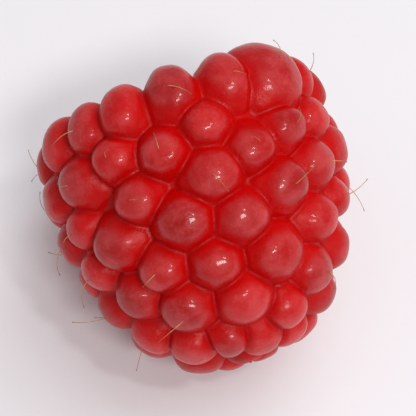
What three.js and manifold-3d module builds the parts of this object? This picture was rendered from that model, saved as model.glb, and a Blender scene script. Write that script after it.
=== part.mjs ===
// A ripe red raspberry, picked and lying on its side.
// It is one aggregate fruit: about a hundred drupelets, packed in a spiral, joined into a thick-walled cup.
// The hollow is where the fruit slipped off its core. The tip points to -Y, the mouth to +Y and a little up.
// Millimetres, +Z up. The origin is on the surface that the fruit lies on, under the middle of its box.
import * as THREE from "three";
import { mergeVertices } from "three/addons/utils/BufferGeometryUtils.js";
import Module from "manifold-3d";

const wasm = await Module();
wasm.setup();

// Body: the egg-shaped surface through the drupelets' middles, about the fruit's own axis Z, its tip at -Z.
const BODY_RADIUS = 8.15;
const BODY_HALF_LENGTH = 9.7;
const SHOULDER = 0.185; // how much wider the mouth half is than the tip half
const BLUNTNESS = 0.61; // under 1, the tip is blunter than an ellipse's
const RIM_LATITUDE = THREE.MathUtils.degToRad(32); // where the last ring of drupelets turns into the mouth
const LOPSIDED = 0.03; // share by which one side is fuller than the other
const FULL_SIDE = THREE.MathUtils.degToRad(-20);
const SAG_WIDE = 1.035; // the soft fruit spreads sideways where it lies
const SAG_LOW = 0.965;

// Drupelets: the spacing of their middles along the body, and the dome that each one shows.
const TIP_SPACING = 2.55;
const BELLY_SPACING = 3.12;
const RIM_SPACING = 2.8;
const BELLY_LATITUDES = [-0.35, 0.3]; // radians, between which the spacing is widest
const DOME_HEIGHT = 1.9; // from a drupelet's middle to its top
const DOME_SPREAD = 0.7; // half-width over spacing: over 0.58, so that three neighbours always meet
const PRESSING = 1.08; // how much more room each drupelet presses for than its spacing
const PRESS_ROUNDS = 60;
const PRESS_SHARE = 0.25; // share of its missing room that a drupelet makes in one round
const RIM_COUNT = 17; // drupelets in the last ring, round the mouth
const RIM_BAND = THREE.MathUtils.degToRad(9); // latitude that this ring takes for itself
const RIM_STRETCH = 1.15; // its drupelets are drawn out over the lip
const STRETCH_LATITUDE = 0.45; // radians, where they begin to be
const PROUD_SIDE = THREE.MathUtils.degToRad(-43); // its biggest drupelet stands here
const PROUD_SIZE = 1.55;
const UNEVEN_SIZE = 0.16;
const UNEVEN_PLACE = 0.22;
const GOLDEN_ANGLE = Math.PI * (3 - Math.sqrt(5));

// Cup: the wall that carries the domes, and the hollow left by the core.
const WALL_COVER = 0.9; // how far the wall stands outside the drupelets' middles
const HOLLOW_MOUTH_RADIUS = 4.9;
const HOLLOW_WAIST_RADIUS = 4.2;
const HOLLOW_DEPTH = 13.2;
const FLARE = 1.6; // height over which the lip rounds into the hollow
const NECK = 2.5; // height from the flare down to the waist
const HOLLOW_BLUNTNESS = 0.8;
const CUP_SIDES = 28;

// Resting pose: the tip dips until three drupelets carry the fruit, with its middle of mass between them.
const ROLL = THREE.MathUtils.degToRad(-10.1); // about the fruit's own axis
const TIP_DOWN = THREE.MathUtils.degToRad(16.34);
const CONTACT_DEPTH = 0.18; // how far each of them is pressed flat by the fruit's weight
const BLOCK = 40; // side of the block that presses them, wider than the fruit

// A repeatable number from 0 to 1 for drupelet i and its trait k.
function chance(i, k) {
  const x = Math.sin(i * 12.9898 + k * 78.233 + 4.1) * 43758.5453;
  return x - Math.floor(x);
}

// The body's point at a latitude, as radius and height.
function bodyAt(latitude) {
  const girth = Math.max(Math.cos(latitude), 0) ** BLUNTNESS;
  const radius = BODY_RADIUS * girth * (1 + SHOULDER * Math.sin(latitude));
  return new THREE.Vector2(radius, BODY_HALF_LENGTH * Math.sin(latitude));
}

// The spacing of drupelets at a latitude: close at the tip, wide on the belly, closer again at the rim.
function spacingAt(latitude) {
  const fromTip = THREE.MathUtils.smoothstep(latitude, -Math.PI / 2, BELLY_LATITUDES[0]);
  const towardsRim = THREE.MathUtils.smoothstep(latitude, BELLY_LATITUDES[1], RIM_LATITUDE);
  const belly = THREE.MathUtils.lerp(TIP_SPACING, BELLY_SPACING, fromTip);
  return THREE.MathUtils.lerp(belly, RIM_SPACING, towardsRim);
}

// The drupelets' places, from the tip up: each golden angle on takes one hexagon's area more. A ring ends it.
function placeDrupelets() {
  const steps = 2000;
  const placed = [];
  const add = (latitude, longitude, spacing, size) => {
    const i = placed.length;
    const shift = (UNEVEN_PLACE * spacing * (chance(i, 1) - 0.5)) / BODY_RADIUS;
    const turn = (UNEVEN_PLACE * spacing * (chance(i, 2) - 0.5)) / Math.max(bodyAt(latitude).x, spacing);
    const uneven = UNEVEN_SIZE * (chance(i, 3) - 0.5);
    placed.push({ latitude: latitude + shift, longitude: longitude + turn, spacing, size: size + uneven });
  };
  let share = 0.5; // the tip is itself the middle of half a cell
  let before = bodyAt(-Math.PI / 2);
  for (let n = 1; n <= steps; n++) {
    const latitude = -Math.PI / 2 + ((RIM_LATITUDE - RIM_BAND + Math.PI / 2) * n) / steps;
    const here = bodyAt(latitude);
    const spacing = spacingAt(latitude);
    const ringArea = Math.PI * (before.x + here.x) * here.distanceTo(before);
    share += ringArea / (spacing * spacing * Math.cos(Math.PI / 6));
    before = here;
    if (share >= placed.length + 1) add(latitude, placed.length * GOLDEN_ANGLE, spacing, 1);
  }
  for (let n = 0; n < RIM_COUNT; n++) {
    const longitude = PROUD_SIDE + (2 * Math.PI * n) / RIM_COUNT;
    add(RIM_LATITUDE, longitude, RIM_SPACING, n === 0 ? PROUD_SIZE : 1);
  }
  return placed;
}

// A point of the body.
function onBody({ latitude, longitude }) {
  const { x, y } = bodyAt(latitude);
  return new THREE.Vector3(x * Math.cos(longitude), x * Math.sin(longitude), y);
}

// Presses the drupelets apart over the body, as they do while they swell. The ring round the mouth stays.
function pressApart(placed) {
  const middles = placed.map(onBody);
  const gap = new THREE.Vector3();
  for (let round = 0; round < PRESS_ROUNDS; round++) {
    const pushed = placed.map((one, i) => {
      const sum = middles[i].clone();
      placed.forEach((other, j) => {
        const room = (PRESSING * (one.spacing * one.size + other.spacing * other.size)) / 2;
        const distance = gap.subVectors(middles[i], middles[j]).length();
        if (i === j || distance > room) return;
        sum.addScaledVector(gap, (PRESS_SHARE * (room - distance)) / distance);
      });
      return sum;
    });
    for (let i = 0; i < placed.length - RIM_COUNT; i++) {
      placed[i].latitude = Math.asin(THREE.MathUtils.clamp(pushed[i].z / BODY_HALF_LENGTH, -1, 1));
      placed[i].longitude = Math.atan2(pushed[i].y, pushed[i].x);
      middles[i] = onBody(placed[i]);
    }
  }
  return placed;
}

// A closed geometry as a solid.
function solidOf(geometry) {
  const bare = geometry.clone();
  bare.deleteAttribute("normal");
  bare.deleteAttribute("uv");
  const merged = mergeVertices(bare);
  return new wasm.Manifold(
    new wasm.Mesh({
      numProp: 3,
      vertProperties: merged.attributes.position.array,
      triVerts: new Uint32Array(merged.index.array),
    }),
  );
}

function geometryOf(solid) {
  const mesh = solid.getMesh();
  const geometry = new THREE.BufferGeometry();
  geometry.setAttribute("position", new THREE.BufferAttribute(mesh.vertProperties, 3));
  geometry.setIndex(new THREE.BufferAttribute(mesh.triVerts, 1));
  geometry.computeVertexNormals();
  return geometry;
}

// One drupelet: a rounded bead, its third axis standing out of the body.
function drupelet({ latitude, longitude, spacing, size }) {
  const middle = bodyAt(latitude);
  const step = 1e-3;
  const along = bodyAt(latitude + step).sub(bodyAt(latitude - step)).normalize();
  const outward = new THREE.Vector3(along.y, 0, -along.x);
  const towardsRim = THREE.MathUtils.smoothstep(latitude, STRETCH_LATITUDE, RIM_LATITUDE);
  const stretch = THREE.MathUtils.lerp(1, RIM_STRETCH, towardsRim);
  const axes = new THREE.Matrix4().makeBasis(
    new THREE.Vector3(along.x, 0, along.y).multiplyScalar(spacing * DOME_SPREAD * size * stretch),
    new THREE.Vector3(0, -1, 0).multiplyScalar(spacing * DOME_SPREAD * size),
    outward.multiplyScalar(DOME_HEIGHT * (0.5 + 0.5 * size)),
  );
  const bead = new THREE.IcosahedronGeometry(1, 1);
  bead.applyMatrix4(axes);
  bead.translate(middle.x * (1 + LOPSIDED * Math.cos(longitude - FULL_SIDE)), 0, middle.y);
  bead.rotateZ(longitude);
  return bead;
}

// The cup's wall, turned round the axis: the body outside, the rounded lip, and the hollow inside.
function cup() {
  const outline = [];
  const sections = 12;
  for (let n = 0; n <= sections; n++) {
    const latitude = -Math.PI / 2 + ((RIM_LATITUDE + Math.PI / 2) * n) / sections;
    const point = bodyAt(latitude);
    outline.push(point.multiplyScalar(1 + WALL_COVER / BODY_RADIUS));
  }
  const rim = outline[sections];
  const waist = rim.y - FLARE - NECK;
  const floor = rim.y - HOLLOW_DEPTH;
  const lip = 3;
  for (let n = 1; n <= lip; n++) {
    const turn = (Math.PI / 2) * (n / lip);
    const inward = rim.x - HOLLOW_MOUTH_RADIUS;
    outline.push(new THREE.Vector2(rim.x - inward * Math.sin(turn), rim.y - FLARE * (1 - Math.cos(turn))));
  }
  const inner = 5;
  for (let n = 1; n <= inner; n++) {
    const turn = (Math.PI / 2) * (n / inner);
    const radius = HOLLOW_WAIST_RADIUS * Math.cos(turn) ** HOLLOW_BLUNTNESS;
    const height = THREE.MathUtils.lerp(waist, floor, Math.sin(turn));
    outline.push(new THREE.Vector2(n === inner ? 0 : radius, height));
  }
  return new THREE.LatheGeometry(outline, CUP_SIDES).rotateX(Math.PI / 2);
}

// The fruit in its own frame, and the sag and the turn that lay it down.
const beads = pressApart(placeDrupelets()).map(drupelet);
const berry = wasm.Manifold.union([cup(), ...beads].map(solidOf));
const raspberry = new THREE.Mesh(
  geometryOf(berry),
  new THREE.MeshStandardMaterial({ color: 0xb81420, roughness: 0.4, metalness: 0 }),
);
raspberry.name = "raspberry";
raspberry.rotation.z = ROLL;
const sagged = new THREE.Group();
sagged.scale.set(SAG_WIDE, SAG_LOW, 1);
sagged.add(raspberry);
const lying = new THREE.Group();
lying.rotation.x = TIP_DOWN - Math.PI / 2;
lying.add(sagged);
const group = new THREE.Group();
group.add(lying);

// Lifts the fruit so that its lowest drupelets reach just below the surface, and centres it over the origin.
const box = new THREE.Box3().setFromObject(group, true);
const middle = box.getCenter(new THREE.Vector3());
lying.position.set(-middle.x, -middle.y, -box.min.z - CONTACT_DEPTH);
group.updateMatrixWorld(true);

// Presses them flat: the block under the surface is cut away.
const block = new THREE.BoxGeometry(BLOCK, BLOCK, BLOCK);
block.translate(0, 0, -BLOCK / 2);
block.applyMatrix4(raspberry.matrixWorld.clone().invert());
raspberry.geometry = geometryOf(berry.subtract(solidOf(block)));

export default group;
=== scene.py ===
import math

import bpy
import numpy as np
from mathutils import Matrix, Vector


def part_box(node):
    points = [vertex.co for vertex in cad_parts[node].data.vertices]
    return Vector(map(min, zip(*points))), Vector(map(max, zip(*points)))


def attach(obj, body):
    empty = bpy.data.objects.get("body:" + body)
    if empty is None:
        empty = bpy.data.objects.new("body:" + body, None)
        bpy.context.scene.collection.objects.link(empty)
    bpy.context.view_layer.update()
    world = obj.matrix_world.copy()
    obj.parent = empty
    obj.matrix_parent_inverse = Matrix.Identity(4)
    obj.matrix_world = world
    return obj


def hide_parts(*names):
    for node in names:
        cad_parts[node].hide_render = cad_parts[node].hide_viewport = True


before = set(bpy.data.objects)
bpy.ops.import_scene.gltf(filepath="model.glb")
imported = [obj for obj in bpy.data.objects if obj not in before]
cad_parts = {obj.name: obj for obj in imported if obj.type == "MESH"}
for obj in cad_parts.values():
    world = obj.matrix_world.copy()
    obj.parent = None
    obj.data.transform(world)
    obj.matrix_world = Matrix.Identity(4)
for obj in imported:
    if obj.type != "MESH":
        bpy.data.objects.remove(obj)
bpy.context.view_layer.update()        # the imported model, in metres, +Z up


# The fruit: about ninety drupelets, each a bead of juice in a thin skin round one seed, grown together into
# a cup. They press against each other, so each dome meets its neighbours in a narrow dark groove. Where the
# cup slipped off the core it is hollow, and the inner end of every drupelet shows as a low pillow.
MM = 0.001
BODY_RADIUS = 8.15 * MM  # of the egg-shaped body through the drupelets' middles
BODY_HALF_LENGTH = 9.7 * MM
SHOULDER = 0.185  # how much wider the mouth half is than the tip half
BLUNTNESS = 0.61  # under 1, the tip is blunter than an ellipse's
RIM_LATITUDE = math.radians(32)
RIM_BAND = math.radians(9)
RIM_COUNT = 17
LOPSIDED = 0.03
FULL_SIDE = math.radians(-20)
PROUD_SIDE = math.radians(-43)
PROUD_SIZE = 1.55
SAG_WIDE, SAG_LOW = 1.035, 0.965
ROLL = math.radians(-10.1)
TIP_DOWN = math.radians(16.34)
CONTACT_DEPTH = 0.18 * MM

TIP_SPACING, BELLY_SPACING, RIM_SPACING = 2.55 * MM, 3.12 * MM, 2.8 * MM
BELLY_LATITUDES = -0.35, 0.3  # radians, between which the spacing is widest
DOME_HEIGHT = 1.9 * MM
DOME_SPREAD = 0.7  # half-width over spacing
DOME_FULLNESS = 2.0  # 2 is a round dome; more is a fuller one with steeper sides
RIM_STRETCH = 1.15  # the drupelets at the rim are longer than wide
STRETCH_LATITUDE = 0.45  # radians, where that stretch starts
PRESSING = 1.08  # how much more room each drupelet presses for than its spacing
PRESS_ROUNDS, PRESS_SHARE = 60, 0.25
SPIRAL_STEPS = 2000
UNEVEN_SIZE = 0.16
UNEVEN_PLACE = 0.22
UNEVEN_APEX = 0.12  # how far a dome's top leans to one side
GROOVE_DEPTH = 0.12 * MM
GROOVE_WIDTH = 0.3  # share of a dome's height that the groove's slope takes
SHOULDER_DROP = 0.36 * MM  # by which a dome is rounder than its plain outline
SHOULDER_SHARES = 0.68, 0.98  # of its own height, between which it drops
RIPPLE = 0.028 * MM  # the skin's gentle unevenness over each dome
RIPPLE_LENGTH = 1.4 * MM
RIPPLE_WAVES = 7
RIPPLE_START = 0.4  # rise over the next dome by which the ripple is full
GOLDEN_ANGLE = math.pi * (3 - math.sqrt(5))

LIP_RADIUS = 1.1 * MM
HOLLOW_WAIST_RADIUS = 4.65 * MM
HOLLOW_TOP = 1.6 * MM
HOLLOW_FLOOR = -8.0 * MM
HOLLOW_BLUNTNESS = 0.8
OUTER_WALL, INNER_WALL = 0.3 * MM, 0.45 * MM  # the cup's own thickness over its middle surface
PILLOW = 0.34 * MM  # how far the drupelets' inner ends stand into the hollow
PILLOW_SLOPE = 0.5
SOFTEN = 0.12 * MM  # the rounding where a dome meets the wall
# Depths into the hollow, 0 at the lip's inner edge and 1 at the end.
INSIDE_STARTS = -0.06, 0.06
WALL_THICKENS = -0.25, 0.1
SEAMS_FADE = 0.84, 0.95  # where the seams would all meet
HOLLOW_PART = 2  # the outside is part 0, the lip part 1

OUTER_ROWS, LIP_ROWS, HOLLOW_ROWS = 150, 24, 66
COLUMNS = 380


def chance(i, k):
    """A repeatable number from 0 to 1 for drupelet i and its trait k."""
    x = math.sin(i * 12.9898 + k * 78.233 + 4.1) * 43758.5453
    return x - math.floor(x)


def smooth(x, low, high):
    t = np.clip((x - low) / (high - low), 0, 1)
    return t * t * (3 - 2 * t)


def body_at(latitude):
    """The body's points at these latitudes, as radius and height."""
    girth = np.maximum(np.cos(latitude), 0) ** BLUNTNESS
    radius = BODY_RADIUS * girth * (1 + SHOULDER * np.sin(latitude))
    return np.stack([radius, BODY_HALF_LENGTH * np.sin(latitude)], -1)


def spacing_at(latitude):
    belly = TIP_SPACING + (BELLY_SPACING - TIP_SPACING) * smooth(latitude, -math.pi / 2, BELLY_LATITUDES[0])
    return belly + (RIM_SPACING - belly) * smooth(latitude, BELLY_LATITUDES[1], RIM_LATITUDE)


def place_drupelets():
    """Each drupelet's latitude, longitude, spacing and size: a golden spiral from the tip, then the rim."""
    placed = []

    def add(latitude, longitude, spacing, size):
        i = len(placed)
        shift = UNEVEN_PLACE * spacing * (chance(i, 1) - 0.5) / BODY_RADIUS
        turn = UNEVEN_PLACE * spacing * (chance(i, 2) - 0.5) / max(body_at(latitude)[0], spacing)
        size += UNEVEN_SIZE * (chance(i, 3) - 0.5)
        placed.append((latitude + shift, longitude + turn, spacing, size))

    share = 0.5
    before = body_at(-math.pi / 2)
    for n in range(1, SPIRAL_STEPS + 1):
        latitude = -math.pi / 2 + (RIM_LATITUDE - RIM_BAND + math.pi / 2) * n / SPIRAL_STEPS
        here = body_at(latitude)
        spacing = spacing_at(latitude)
        strip = math.pi * (before[0] + here[0]) * math.dist(here, before)
        share += strip / (spacing**2 * math.cos(math.pi / 6))
        before = here
        if share >= len(placed) + 1:
            add(latitude, len(placed) * GOLDEN_ANGLE, spacing, 1)
    for n in range(RIM_COUNT):
        add(RIM_LATITUDE, PROUD_SIDE + math.tau * n / RIM_COUNT, RIM_SPACING, PROUD_SIZE if n == 0 else 1)
    return placed


def turned(radius_height, longitude):
    """Points on the body of revolution, from (radius, height) pairs and longitudes."""
    radius, height = radius_height[..., 0], radius_height[..., 1]
    return np.stack([radius * np.cos(longitude), radius * np.sin(longitude), height], -1)


def pressed_apart(placed):
    """The drupelets after they have pushed each other apart over the body.

    The ring round the mouth stays. Those pushed past the tip stop on it, all in one place.
    """
    latitude, longitude, spacing, size = np.array(placed).T
    middles = turned(body_at(latitude), longitude)
    reach = spacing * size
    room = PRESSING * (reach[:, None] + reach[None]) / 2
    itself = np.eye(len(placed))
    loose = slice(0, len(placed) - RIM_COUNT)
    for _ in range(PRESS_ROUNDS):
        gap = middles[:, None] - middles[None]
        distance = np.linalg.norm(gap, axis=-1) + itself
        missing = np.clip(room - distance, 0, None) * (1 - itself)
        pushed = middles + PRESS_SHARE * (gap * (missing / distance)[..., None]).sum(1)
        latitude[loose] = np.arcsin(np.clip(pushed[loose, 2] / BODY_HALF_LENGTH, -1, 1))
        longitude[loose] = np.arctan2(pushed[loose, 1], pushed[loose, 0])
        middles = turned(body_at(latitude), longitude)
    return list(zip(latitude, longitude, spacing, size))


# Each drupelet's middle and its three axes, each divided by its half-width, so that a dome's edge is at 1.
drupelets = pressed_apart(place_drupelets())
middles, frames, heights, leans = [], [], [], []
for i, (latitude, longitude, spacing, size) in enumerate(drupelets):
    middle = body_at(latitude)
    along = body_at(latitude + 1e-3) - body_at(latitude - 1e-3)
    along /= np.linalg.norm(along)
    stretch = 1 + (RIM_STRETCH - 1) * float(smooth(latitude, STRETCH_LATITUDE, RIM_LATITUDE))
    half = spacing * DOME_SPREAD * size
    frames.append([
        turned(along, longitude) / (half * stretch),
        np.array([-math.sin(longitude), math.cos(longitude), 0]) / half,
        turned(np.array([along[1], -along[0]]), longitude) / half,
    ])
    middle[0] *= 1 + LOPSIDED * math.cos(longitude - FULL_SIDE)
    middles.append(turned(middle, longitude))
    heights.append(DOME_HEIGHT * (0.5 + 0.5 * size))
    lean = math.tau * chance(i, 4)
    leans.append([UNEVEN_APEX * math.cos(lean), UNEVEN_APEX * math.sin(lean)])
middles, frames, heights, leans = (np.array(part) for part in (middles, frames, heights, leans))


def domes(points):
    """The height of the dome over each point, how far it rises over the next one, and its drupelet."""
    tallest = np.zeros(len(points))
    second = np.zeros(len(points))
    nearest = np.zeros(len(points), int)
    for i in range(len(middles)):
        local = (points - middles[i]) @ frames[i].T
        reach = np.sqrt((local**2).sum(-1))
        inside = reach < 1
        tilt = 1 + local[inside, :2] @ leans[i]
        height = heights[i] * (1 - reach[inside] ** DOME_FULLNESS) ** (1 / DOME_FULLNESS) * tilt
        best, next_best = tallest[inside], second[inside]
        second[inside] = np.where(height > best, best, np.maximum(next_best, height))
        nearest[inside] = np.where(height > best, i, nearest[inside])
        tallest[inside] = np.maximum(best, height)
    return tallest, (tallest - second) / DOME_HEIGHT, nearest


def ripple(points):
    """The skin's gentle unevenness, mostly from -1 to 1: waves that cross each other in all directions."""
    total = np.zeros(len(points))
    for k in range(RIPPLE_WAVES):
        direction = np.array([chance(k, 40), chance(k, 41), chance(k, 42)]) - 0.5
        direction *= math.tau / (RIPPLE_LENGTH * (0.6 + 0.8 * chance(k, 43)) * np.linalg.norm(direction))
        total += np.sin(points @ direction + math.tau * chance(k, 44))
    return total / math.sqrt(RIPPLE_WAVES)


def cup_outline():
    """Rows of the cup's middle surface, from the tip over the lip into the hollow, and each row's part."""
    outer = body_at(np.linspace(-math.pi / 2, RIM_LATITUDE, 400))
    tangent = outer[-1] - outer[-2]
    start = math.atan2(-tangent[0], tangent[1])
    centre = outer[-1] - LIP_RADIUS * np.array([math.cos(start), math.sin(start)])
    turn = np.linspace(start, math.pi, 100)
    lip = centre + LIP_RADIUS * np.stack([np.cos(turn), np.sin(turn)], -1)
    quarter = np.linspace(0, math.pi / 2, 200)
    taper = HOLLOW_WAIST_RADIUS * np.cos(quarter) ** HOLLOW_BLUNTNESS
    height = HOLLOW_FLOOR + (HOLLOW_TOP - HOLLOW_FLOOR) * (1 - np.sin(quarter))
    narrowing = np.linspace(0, 1, 60)[1:-1]
    neck = lip[-1] + (np.array([taper[0], height[0]]) - lip[-1]) * np.stack(
        [smooth(narrowing, 0, 1), narrowing], -1
    )
    hollow = np.concatenate([neck, np.stack([taper, height], -1)])
    rows, parts = [], []
    for part, (curve, count) in enumerate([(outer, OUTER_ROWS), (lip, LIP_ROWS), (hollow, HOLLOW_ROWS)]):
        length = np.concatenate([[0], np.cumsum(np.linalg.norm(np.diff(curve, axis=0), axis=1))])
        at = np.linspace(0, length[-1], count + 1)[1:]
        if part == HOLLOW_PART:
            at = at[:-1]
        rows.append(np.stack([np.interp(at, length, curve[:, 0]), np.interp(at, length, curve[:, 1])], -1))
        parts.append(np.full(len(at), part))
    return np.concatenate(rows), np.concatenate(parts)


rows, parts = cup_outline()
step = np.gradient(rows, axis=0)
step /= np.linalg.norm(step, axis=1, keepdims=True)
outward = np.stack([step[:, 1], -step[:, 0]], -1)
hollow_depth = np.concatenate([[0], np.cumsum(np.linalg.norm(np.diff(rows, axis=0), axis=1))])
lip_end = hollow_depth[np.argmax(parts == HOLLOW_PART)]
hollow_depth = (hollow_depth - lip_end) / (hollow_depth[-1] - lip_end)
inside_share = smooth(hollow_depth, *INSIDE_STARTS)

longitudes = np.linspace(0, math.tau, COLUMNS, endpoint=False)
grid_longitude = np.tile(longitudes, len(rows))
grid_row = np.repeat(np.arange(len(rows)), COLUMNS)
lopsided = 1 + LOPSIDED * np.cos(grid_longitude - FULL_SIDE)
base = rows[grid_row] * np.stack([lopsided, np.ones_like(lopsided)], -1)
base = turned(base, grid_longitude)
normal = turned(outward[grid_row], grid_longitude)

# Outside, the wall carries the domes; inside, each drupelet shows its inner end right behind its dome.
tallest, crown, nearest = domes(base)
own_share = tallest / heights[nearest]
rise = tallest - GROOVE_DEPTH * (1 - smooth(crown, 0, GROOVE_WIDTH))
rise -= SHOULDER_DROP * (1 - smooth(own_share, *SHOULDER_SHARES))
rise += RIPPLE * ripple(base) * smooth(crown, 0, RIPPLE_START)
twin_latitude = -math.pi / 2 + (RIM_LATITUDE + math.pi / 2) * (1 - np.clip(hollow_depth, 0, 1))
_, end_crown, end_nearest = domes(turned(body_at(twin_latitude)[grid_row], grid_longitude))
within = inside_share[grid_row]
wall = OUTER_WALL + (INNER_WALL - OUTER_WALL) * smooth(hollow_depth, *WALL_THICKENS)[grid_row]
rise = rise * (1 - within)
blend = np.clip(0.5 + (rise - wall) / (2 * SOFTEN), 0, 1)
height = wall + (rise - wall) * blend + SOFTEN * blend * (1 - blend)
end_crown = end_crown + smooth(hollow_depth, *SEAMS_FADE)[grid_row]
height += within * PILLOW * smooth(end_crown, 0, PILLOW_SLOPE)
points = base + normal * height[:, None]

# The two ends of the grid close on the axis.
tip = np.array([[0, 0, -BODY_HALF_LENGTH]])
tip_rise, _, tip_nearest = domes(tip)
ends = np.array([
    [0, 0, -BODY_HALF_LENGTH - tip_rise[0]],
    [0, 0, HOLLOW_FLOOR + INNER_WALL],
])
points = np.concatenate([points, ends])


def laid_down(points):
    """Points of the upright fruit as it lies: rolled, sagged by its weight, then turned tip down."""
    x = (points[:, 0] * math.cos(ROLL) - points[:, 1] * math.sin(ROLL)) * SAG_WIDE
    y = (points[:, 0] * math.sin(ROLL) + points[:, 1] * math.cos(ROLL)) * SAG_LOW
    z = points[:, 2]
    turn = TIP_DOWN - math.pi / 2
    return np.stack([x, y * math.cos(turn) - z * math.sin(turn), y * math.sin(turn) + z * math.cos(turn)], -1)


points = laid_down(points)
low, high = (np.array(corner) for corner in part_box("raspberry"))
lift = (low + high) / 2 - (points.min(0) + points.max(0)) / 2
lift[2] = low[2] - points[:, 2].min() - CONTACT_DEPTH
points += lift
points[:, 2] = np.maximum(points[:, 2], low[2])  # the weight presses the lowest drupelets flat

faces = []
for row in range(len(rows) - 1):
    for column in range(COLUMNS):
        after = (column + 1) % COLUMNS
        a, b = row * COLUMNS, (row + 1) * COLUMNS
        faces.append((a + column, a + after, b + after, b + column))
last = (len(rows) - 1) * COLUMNS
for column in range(COLUMNS):
    after = (column + 1) % COLUMNS
    faces.append((len(points) - 2, after, column))
    faces.append((len(points) - 1, last + column, last + after))

fruit_mesh = bpy.data.meshes.new("raspberry_flesh")
fruit_mesh.from_pydata(points.tolist(), [], faces)
fruit_mesh.polygons.foreach_set("use_smooth", [True] * len(faces))


def write_trait(name, values):
    """A number for each point of the fruit, which the skin's material reads by name."""
    fruit_mesh.attributes.new(name, "FLOAT", "POINT").data.foreach_set("value", values.astype(np.float32))


tints = np.array([chance(i, 5) for i in range(len(drupelets))])
ripeness = np.array([chance(i, 6) for i in range(len(drupelets))])
cell = np.where(within > 0.5, end_nearest, nearest)
shown_crown = np.where(within > 0.5, end_crown, crown)
end_cells = [tip_nearest[0], end_nearest[-1]]
write_trait("crown", np.concatenate([shown_crown, [1, 1]]))
write_trait("dome", np.concatenate([own_share, [1, 1]]))
write_trait("tint", np.concatenate([tints[cell], tints[end_cells]]))
write_trait("ripeness", np.concatenate([ripeness[cell], ripeness[end_cells]]))
write_trait("inside", np.concatenate([within, [0, 1]]))

raspberry = bpy.data.objects.new("raspberry_flesh", fruit_mesh)
bpy.context.scene.collection.objects.link(raspberry)


class Value:
    """A socket that carries a number. Arithmetic on it adds Math nodes."""

    def __init__(self, recipe, socket):
        self.recipe, self.socket = recipe, socket

    def _math(self, operation, a, b):
        return self.recipe.node("ShaderNodeMath", {"operation": operation}, {0: a, 1: b})

    def __add__(self, other):
        return self._math("ADD", self, other)

    def __sub__(self, other):
        return self._math("SUBTRACT", self, other)

    def __rsub__(self, other):
        return self._math("SUBTRACT", other, self)

    def __mul__(self, other):
        return self._math("MULTIPLY", self, other)

    __radd__ = __add__
    __rmul__ = __mul__


class Recipe:
    """A material's nodes."""

    def __init__(self, name):
        self.material = bpy.data.materials.new(name)
        self.material.use_nodes = True
        self.tree = self.material.node_tree
        self.shader = self.tree.nodes["Principled BSDF"]

    def node(self, kind, settings=None, inputs=None, output=0):
        """Adds a node: its settings first, then its sockets' values or links. Gives one of its outputs."""
        made = self.tree.nodes.new(kind)
        for key, value in (settings or {}).items():
            setattr(made, key, value)
        for key, value in (inputs or {}).items():
            self.set(made.inputs[key], value)
        return Value(self, made.outputs[output])

    def set(self, socket, value):
        if isinstance(value, Value):
            self.tree.links.new(value.socket, socket)
        else:
            socket.default_value = (*value, 1) if socket.type == "RGBA" else value

    def trait(self, name):
        return self.node("ShaderNodeAttribute", {"attribute_name": name}, output="Fac")

    def noise(self, scale, detail):
        """Soft noise from 0 to 1; scale is in lumps per metre."""
        where = self.node("ShaderNodeTexCoord", output="Object")
        return self.node("ShaderNodeTexNoise", {}, {"Vector": where, "Scale": scale, "Detail": detail})

    def mix(self, share, a, b):
        """The colour a turned towards b by a share."""
        return self.node("ShaderNodeMix", {"data_type": "RGBA"}, {0: share, 6: a, 7: b}, output=2)

    def step(self, value, low, high):
        """A soft step from 0 at low to 1 at high."""
        return self.node(
            "ShaderNodeMapRange", {"interpolation_type": "SMOOTHSTEP"}, {"Value": value, 1: low, 2: high}
        )

    def finish(self, **sockets):
        """Sets the shader's sockets by name, with underscores for spaces."""
        for key, value in sockets.items():
            self.set(self.shader.inputs[key.replace("_", " ")], value)
        return self.material


skin = Recipe("raspberry_skin")
# Painted shade: the thin crease where two domes meet is painted a darker red than the groove around it.
CREASE_SHADE_RED = (0.36, 0.0, 0.0003)
GROOVE_RED = (0.50, 0.0, 0.0004)
CROWN_RED = (0.50, 0.001, 0.002)
RIPE_RED = (0.34, 0.0003, 0.001)
BLOOM_AND_SHEEN_PINK = (0.66, 0.10, 0.105)
INSIDE_RED = (0.60, 0.02, 0.03)
SEAM_PINK = (0.66, 0.15, 0.13)
mottle = skin.noise(900, 4)
patches = skin.noise(260, 2)
specks = skin.noise(5200, 2)
round_top = skin.step(skin.trait("dome") + (mottle - 0.5) * 0.12, 0.74, 0.95)
crown_share = skin.step(skin.trait("crown"), 0.04, 0.35) * round_top
fresh_red = skin.mix(skin.step(skin.trait("tint"), 0.1, 1), CROWN_RED, RIPE_RED)
# The groove's red, turned to painted shade in the crease itself.
groove_red_and_crease_shade = skin.mix(skin.step(skin.trait("crown"), 0.0, 0.08), CREASE_SHADE_RED, GROOVE_RED)
outer_red = skin.mix(crown_share, groove_red_and_crease_shade, fresh_red)
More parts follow.
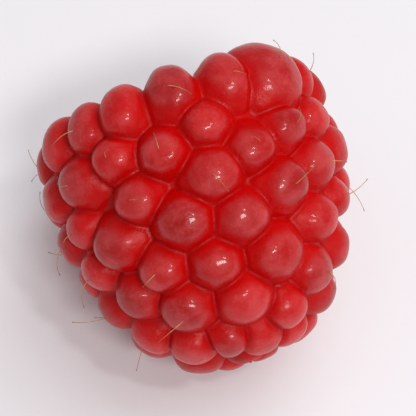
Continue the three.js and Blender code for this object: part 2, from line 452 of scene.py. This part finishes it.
# The crowns' pale pink is partly the skin's real bloom of fine hairs and partly painted sheen: the sky's
# reflection painted onto the dome tops.
bloom_and_sheen = (
    skin.step(mottle, 0.36, 0.66) * 0.24
    + skin.step(patches, 0.38, 0.62) * 0.12
    + skin.step(specks, 0.5, 0.75) * 0.14
)
outer_red = skin.mix(bloom_and_sheen * crown_share, outer_red, BLOOM_AND_SHEEN_PINK)
inner_red = skin.mix(skin.step(skin.trait("crown"), 0.0, 0.3), SEAM_PINK, INSIDE_RED)
skin_red = skin.mix(skin.trait("inside"), outer_red, inner_red)
dryness = skin.step(mottle, 0.3, 0.75) * 0.12 + skin.step(skin.trait("ripeness"), 0, 1) * 0.14
pores = skin.noise(9000, 2)
wrinkle = skin.node(
    "ShaderNodeBump",
    {},
    {"Strength": 0.7, "Distance": 0.08 * MM, "Height": skin.noise(2200, 4) + pores * 0.4},
)
skin.finish(
    Base_Color=skin_red,
    Roughness=dryness + 0.3,
    Specular_IOR_Level=0.22,
    Subsurface_Weight=0.3,
    Subsurface_Radius=(1.0, 0.1, 0.08),
    Subsurface_Scale=1.2 * MM,
    Coat_Weight=crown_share * 0.35,
    Coat_Roughness=0.09,
    Normal=wrinkle,
)
fruit_mesh.materials.append(skin.material)
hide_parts("raspberry")
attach(raspberry, "root")


# The styles: a dry golden-brown hair on top of many drupelets, all that is left of the flower's pistils. Each
# is thin and wiry, curls to one side as it dries, and ends in a slightly thicker stigma.
STYLE_SHARE = 0.5
STYLE_SHORT, STYLE_LONG = 1.0 * MM, 2.5 * MM
STYLE_RADIUS = 0.03 * MM
STYLE_LOWEST = math.radians(-62)  # none nearer the tip, where several drupelets share one place
STYLE_ROOM = 0.35 * MM  # how far a style may reach past the solid fruit's box
STYLE_SIDES, STYLE_JOINTS = 6, 14
TRIES = 12
TILT, TILT_PER_TRY = 0.35, 0.9  # radians away from straight out, at the root
BEND_LEAST, BEND_MORE = 0.4, 0.6  # radians more at its end
TWIST = 1.2  # radians that its heading swings through
THINNING, STIGMA = 0.55, 0.7  # shares of its radius, lost along it and gained at its end
STRAW_PALE, STRAW_DEEP, STIGMA_BROWN = (0.62, 0.36, 0.14), (0.42, 0.20, 0.07), (0.22, 0.09, 0.035)

style_points, style_faces, style_ages = [], [], []
room_low, room_high = low - STYLE_ROOM, high + STYLE_ROOM
room_low[2] = low[2] + STYLE_RADIUS
travel = np.linspace(0, 1, STYLE_JOINTS)
for i in range(len(drupelets)):
    if chance(i, 8) > STYLE_SHARE or drupelets[i][0] < STYLE_LOWEST:
        continue
    along, across, out = (axis / np.linalg.norm(axis) for axis in frames[i])
    length = STYLE_SHORT + (STYLE_LONG - STYLE_SHORT) * chance(i, 9)
    for attempt in range(TRIES):
        heading = math.tau * chance(i, 10 + attempt) + TWIST * (chance(i, 30) - 0.5) * travel
        lean = TILT + TILT_PER_TRY * attempt / TRIES + (BEND_LEAST + BEND_MORE * chance(i, 31)) * travel
        side = np.cos(heading)[:, None] * along + np.sin(heading)[:, None] * across
        steps = np.cos(lean)[:, None] * out + np.sin(lean)[:, None] * side
        path = middles[i] + out * (heights[i] - STYLE_RADIUS)
        offsets = np.concatenate([[[0, 0, 0]], np.cumsum(steps[1:], axis=0)])
        path = path + offsets * length / (STYLE_JOINTS - 1)
        path = laid_down(path) + lift
        if (path > room_low).all() and (path < room_high).all():
            break
    else:
        continue
    tangents = np.gradient(path, axis=0)
    tangents /= np.linalg.norm(tangents, axis=1, keepdims=True)
    first = np.cross(tangents, tangents[0] + np.array([0.3, 0.5, 0.8]))
    first /= np.linalg.norm(first, axis=1, keepdims=True)
    second = np.cross(tangents, first)
    radius = STYLE_RADIUS * (1 - THINNING * travel + STIGMA * smooth(travel, 0.9, 1))
    start = len(style_points)
    for joint in range(STYLE_JOINTS):
        for side in range(STYLE_SIDES):
            turn = math.tau * side / STYLE_SIDES
            spoke = math.cos(turn) * first[joint] + math.sin(turn) * second[joint]
            style_points.append(path[joint] + radius[joint] * spoke)
            style_ages.append(travel[joint])
    for joint in range(STYLE_JOINTS - 1):
        ring = start + joint * STYLE_SIDES
        for side in range(STYLE_SIDES):
            after = (side + 1) % STYLE_SIDES
            upper = ring + STYLE_SIDES
            style_faces.append((ring + side, ring + after, upper + after, upper + side))
    style_faces.append(tuple(start + side for side in reversed(range(STYLE_SIDES))))
    style_faces.append(tuple(start + (STYLE_JOINTS - 1) * STYLE_SIDES + side for side in range(STYLE_SIDES)))

style_mesh = bpy.data.meshes.new("dry_styles")
style_mesh.from_pydata([tuple(point) for point in style_points], [], style_faces)
style_mesh.polygons.foreach_set("use_smooth", [len(face) == 4 for face in style_faces])
style_mesh.attributes.new("age", "FLOAT", "POINT").data.foreach_set("value", np.array(style_ages, np.float32))
dry_styles = bpy.data.objects.new("dry_styles", style_mesh)
bpy.context.scene.collection.objects.link(dry_styles)

wiry = Recipe("dry_style")
streaks = wiry.noise(3000, 3)
straw = wiry.mix(wiry.step(streaks, 0.3, 0.7), STRAW_PALE, STRAW_DEEP)
wiry.finish(
    Base_Color=wiry.mix(wiry.step(wiry.trait("age"), 0.4, 1), straw, STIGMA_BROWN),
    Roughness=streaks * 0.3 + 0.4,
    Subsurface_Weight=0.1,
    Subsurface_Scale=0.2 * MM,
    Normal=wiry.node("ShaderNodeBump", {}, {"Strength": 0.3, "Distance": 0.01 * MM, "Height": streaks}),
)
style_mesh.materials.append(wiry.material)
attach(dry_styles, "root")


# The floor: a plain pale matt sheet that the fruit lies on, one flat face at the height of the fruit's lowest
# point. It only serves the picture.
FLOOR_HALF = 1.5
CORNERS = [(-1, -1), (1, -1), (1, 1), (-1, 1)]
floor_mesh = bpy.data.meshes.new("floor")
floor_mesh.from_pydata([(x * FLOOR_HALF, y * FLOOR_HALF, 0) for x, y in CORNERS], [], [(0, 1, 2, 3)])
floor = bpy.data.objects.new("floor", floor_mesh)
floor.location.z = low[2]
bpy.context.scene.collection.objects.link(floor)
paper = Recipe("pale_paper")
floor_mesh.materials.append(
    paper.finish(
        Base_Color=paper.mix(paper.noise(8, 2), (0.80, 0.80, 0.83), (0.83, 0.83, 0.86)),
        Roughness=0.6,
    )
)


# The studio: a broad soft light from the right, two small lamps in front for the glints, and a pale pinkish
# room. The camera looks down on the fruit through a long lens, from beside its tip.
middle = Vector((low + high) / 2)
AZIMUTH, ELEVATION = math.radians(-18), math.radians(60)
LAMP_DISTANCE = 0.5
GLINT_COLOUR = (1.0, 0.98, 0.96)


def seen_from(azimuth, elevation):
    """The direction from the fruit, from an azimuth round it and an elevation over the floor."""
    level = math.cos(elevation)
    return Vector((math.sin(azimuth) * level, -math.cos(azimuth) * level, math.sin(elevation)))


def add_lamp(name, azimuth, elevation, width, depth, power, colour, seen_in_gloss):
    lamp = bpy.data.lights.new(name, "AREA")
    lamp.shape = "RECTANGLE"
    lamp.size, lamp.size_y = width, depth
    lamp.energy, lamp.color = power, colour
    holder = bpy.data.objects.new(name, lamp)
    direction = seen_from(math.radians(azimuth), math.radians(elevation))
    holder.location = middle + direction * LAMP_DISTANCE
    holder.rotation_euler = direction.to_track_quat("Z", "Y").to_euler()
    holder.visible_glossy = seen_in_gloss
    bpy.context.scene.collection.objects.link(holder)


add_lamp("side_softbox", 108, 56, 0.5, 0.5, 1.45, (0.95, 1.0, 1.0), False)
add_lamp("front_lamp", 8, 52, 0.16, 0.07, 1.0, GLINT_COLOUR, True)
add_lamp("second_lamp", 40, 64, 0.03, 0.06, 0.3, GLINT_COLOUR, True)
room = bpy.data.worlds.new("room")
room.use_nodes = True
room.node_tree.nodes["Background"].inputs["Color"].default_value = (1.0, 0.91, 0.93, 1)
room.node_tree.nodes["Background"].inputs["Strength"].default_value = 0.37
bpy.context.scene.world = room

camera_data = bpy.data.cameras.new("camera")
camera_data.lens = 135
CAMERA_DISTANCE = 0.106
camera = bpy.data.objects.new("camera", camera_data)
view_direction = seen_from(AZIMUTH, ELEVATION)
camera.location = middle + view_direction * CAMERA_DISTANCE
camera.rotation_euler = view_direction.to_track_quat("Z", "Y").to_euler()
camera_data.clip_start = 0.005
bpy.context.scene.collection.objects.link(camera)
bpy.context.scene.camera = camera
bpy.context.scene.view_settings.view_transform = "Standard"
